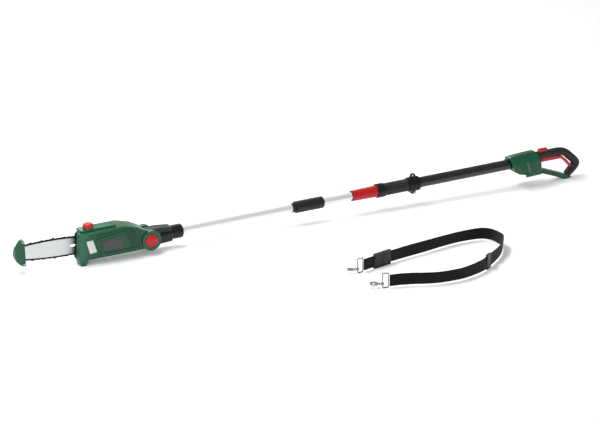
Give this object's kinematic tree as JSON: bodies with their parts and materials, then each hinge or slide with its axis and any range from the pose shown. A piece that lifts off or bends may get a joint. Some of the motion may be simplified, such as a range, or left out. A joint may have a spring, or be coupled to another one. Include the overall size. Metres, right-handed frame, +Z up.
{
  "type": "telescoping pole saw",
  "caption": "Cordless telescopic pole saw: tilting chainsaw head with nose guard, pole with clamp nut and plug-in tube, D handle with trigger, and a carrying strap.",
  "frame": {"origin": "middle of the flat foot under the front of the saw head, on the surface that the saw lies on", "axes": "+X along the saw from the head towards the handle, level; +Z up; +Y towards the side away from the strap"},
  "size_m": [2.108, 0.7468, 0.1319],
  "materials": {
    "green_plastic": "satin moulded",
    "light_green_plastic": "satin moulded",
    "black_plastic": "fine moulded grain",
    "grey_plastic": "fine moulded grain",
    "red_plastic": "satin moulded",
    "clear_tank": "milky translucent",
    "soft_grip": "soft overmould",
    "aluminium": "drawn and anodised",
    "black_tube": "gloss black coat",
    "bar_steel": "ground",
    "chain_steel": "oiled dark steel",
    "steel": "turned",
    "dark_steel": "black oxide",
    "wire": "bright",
    "copper": "wound wire and contacts",
    "webbing": "woven webbing"
  },
  "bodies": {
    "telescope": {"telescopic_tube": "aluminium", "guide_bush": "black_plastic", "coupling_socket": "grey_plastic"},
    "handle": {"outer_tube": "black_tube", "clamp_body": "black_plastic", "clamp_collet": "grey_plastic", "front_grip": "soft_grip", "strap_ring": "black_plastic", "handle_shell_near": "green_plastic", "handle_shell_far": "green_plastic", "handle_spine": "green_plastic", "handle_grip": "soft_grip", "switch_block": "black_plastic", "circuit_board": "green_plastic", "battery_terminal": "black_plastic", "handle_screws": "steel"},
    "clamp_nut": {"clamp_nut": "red_plastic"},
    "coupling_nut": {"coupling_nut": "grey_plastic"},
    "extension": {"extension_tube": "aluminium", "extension_plug": "black_plastic", "neck_socket": "black_plastic", "neck_collar": "black_plastic"},
    "head": {"head_shell_near": "green_plastic", "head_shell_far": "green_plastic", "head_top_cover": "light_green_plastic", "sprocket_cover": "green_plastic", "head_screws": "steel", "oil_tank": "clear_tank", "oil_pump": "grey_plastic", "motor_can": "steel", "output_bearings": "steel", "guide_bar": "bar_steel", "tip_guard": "green_plastic", "bumper_spikes": "dark_steel", "chain_drive_links": "chain_steel", "chain_tie_straps": "chain_steel", "chain_cutters": "chain_steel", "pivot_bolt": "steel"},
    "tilt_lock": {"tilt_lock_button": "red_plastic", "tilt_lock_spring": "steel"},
    "oil_cap": {"oil_cap": "red_plastic"},
    "cover_knob": {"cover_knob": "black_plastic"},
    "rotor": {"motor_rotor": "copper"},
    "output": {"output_shaft": "steel", "drive_gear": "steel", "drive_sprocket": "steel"},
    "nose": {"nose_sprocket": "steel"},
    "trigger": {"trigger": "red_plastic"},
    "lock_off": {"lock_off_button": "red_plastic"},
    "strap": {"strap_webbing_long": "webbing", "strap_slider": "black_plastic", "buckle_socket": "black_plastic", "strap_ring_rear": "wire", "hook_rear": "wire"},
    "strap_front": {"strap_webbing_short": "webbing", "buckle_plug": "black_plastic", "strap_ring_front": "wire", "hook_front": "wire"},
    "gate_front": {"hook_gate_front": "wire"},
    "gate_rear": {"hook_gate_rear": "wire"}
  },
  "joints": [
    {"name": "telescope_slide", "type": "slide", "parent": "telescope", "child": "handle", "axis": [0.9997, 0, 0.0262], "range_m": [0, 0.5]},
    {"name": "clamp_nut_turn", "type": "hinge", "parent": "handle", "child": "clamp_nut", "pos_m": [1.03354, 0, 0.06911], "axis": [0.9997, 0, 0.0262], "range_deg": [0, 120]},
    {"name": "coupling_nut_turn", "type": "hinge", "parent": "telescope", "child": "coupling_nut", "pos_m": [0.83361, 0, 0.06387], "axis": [0.9997, 0, 0.0262], "range_deg": [0, 90]},
    {"name": "extension_slide", "type": "slide", "parent": "telescope", "child": "extension", "axis": [-0.9997, 0, -0.0262], "range_m": [0, 0.08]},
    {"name": "head_tilt", "type": "hinge", "parent": "extension", "child": "head", "pos_m": [0.23382, 0, 0.04814], "axis": [0, -1, 0], "range_deg": [0, 30]},
    {"name": "tilt_lock_press", "type": "slide", "parent": "head", "child": "tilt_lock", "axis": [0, 1, 0], "range_m": [0, 0.005], "stiffness_N_per_m": 900, "deforming": ["tilt_lock_spring"]},
    {"name": "oil_cap_turn", "type": "hinge", "parent": "head", "child": "oil_cap", "pos_m": [0.02829, -0.008, 0.12278], "axis": [-0.0262, 0, 0.9997], "range_deg": [0, 90]},
    {"name": "cover_knob_turn", "type": "hinge", "parent": "head", "child": "cover_knob", "pos_m": [0.0405, 0.04, 0.0592], "axis": [0, 1, 0], "range_deg": [0, 180]},
    {"name": "motor_spin", "type": "hinge", "parent": "head", "child": "rotor", "pos_m": [0.11632, 0, 0.06307], "axis": [0, 1, 0], "continuous": true},
    {"name": "sprocket_spin", "type": "hinge", "parent": "head", "child": "output", "pos_m": [0.07849, 0, 0.05848], "axis": [0, 1, 0], "continuous": true},
    {"name": "nose_spin", "type": "hinge", "parent": "head", "child": "nose", "pos_m": [-0.17839, 0.008, 0.0634], "axis": [0, 1, 0], "continuous": true},
    {"name": "trigger_pull", "type": "hinge", "parent": "handle", "child": "trigger", "pos_m": [1.85957, 0, 0.04075], "axis": [0, 1, 0], "range_deg": [0, 4], "stiffness_Nm_per_rad": 1.5},
    {"name": "lock_off_press", "type": "slide", "parent": "handle", "child": "lock_off", "axis": [0.0262, 0, -0.9997], "range_m": [0, 0.003], "stiffness_N_per_m": 700},
    {"name": "strap_lift", "type": "slide", "parent": "telescope", "child": "strap", "axis": [0, 0, 1], "range_m": [0, 0.3]},
    {"name": "buckle_release", "type": "slide", "parent": "strap", "child": "strap_front", "axis": [-0.9677, -0.2521, 0], "range_m": [0, 0.04]},
    {"name": "hook_gate_front_swing", "type": "hinge", "parent": "strap_front", "child": "gate_front", "pos_m": [0.71265, -0.48837, 0.013], "axis": [0, 0, -1], "range_deg": [0, 22], "stiffness_Nm_per_rad": 0.01},
    {"name": "hook_gate_rear_swing", "type": "hinge", "parent": "strap", "child": "gate_rear", "pos_m": [0.71526, -0.63453, 0.013], "axis": [0, 0, -1], "range_deg": [0, 22], "stiffness_Nm_per_rad": 0.01}
  ],
  "couplings": [
    {"joint": "motor_spin", "follows": "sprocket_spin", "ratio": -3.75},
    {"joint": "nose_spin", "follows": "sprocket_spin", "ratio": 0.75}
  ]
}
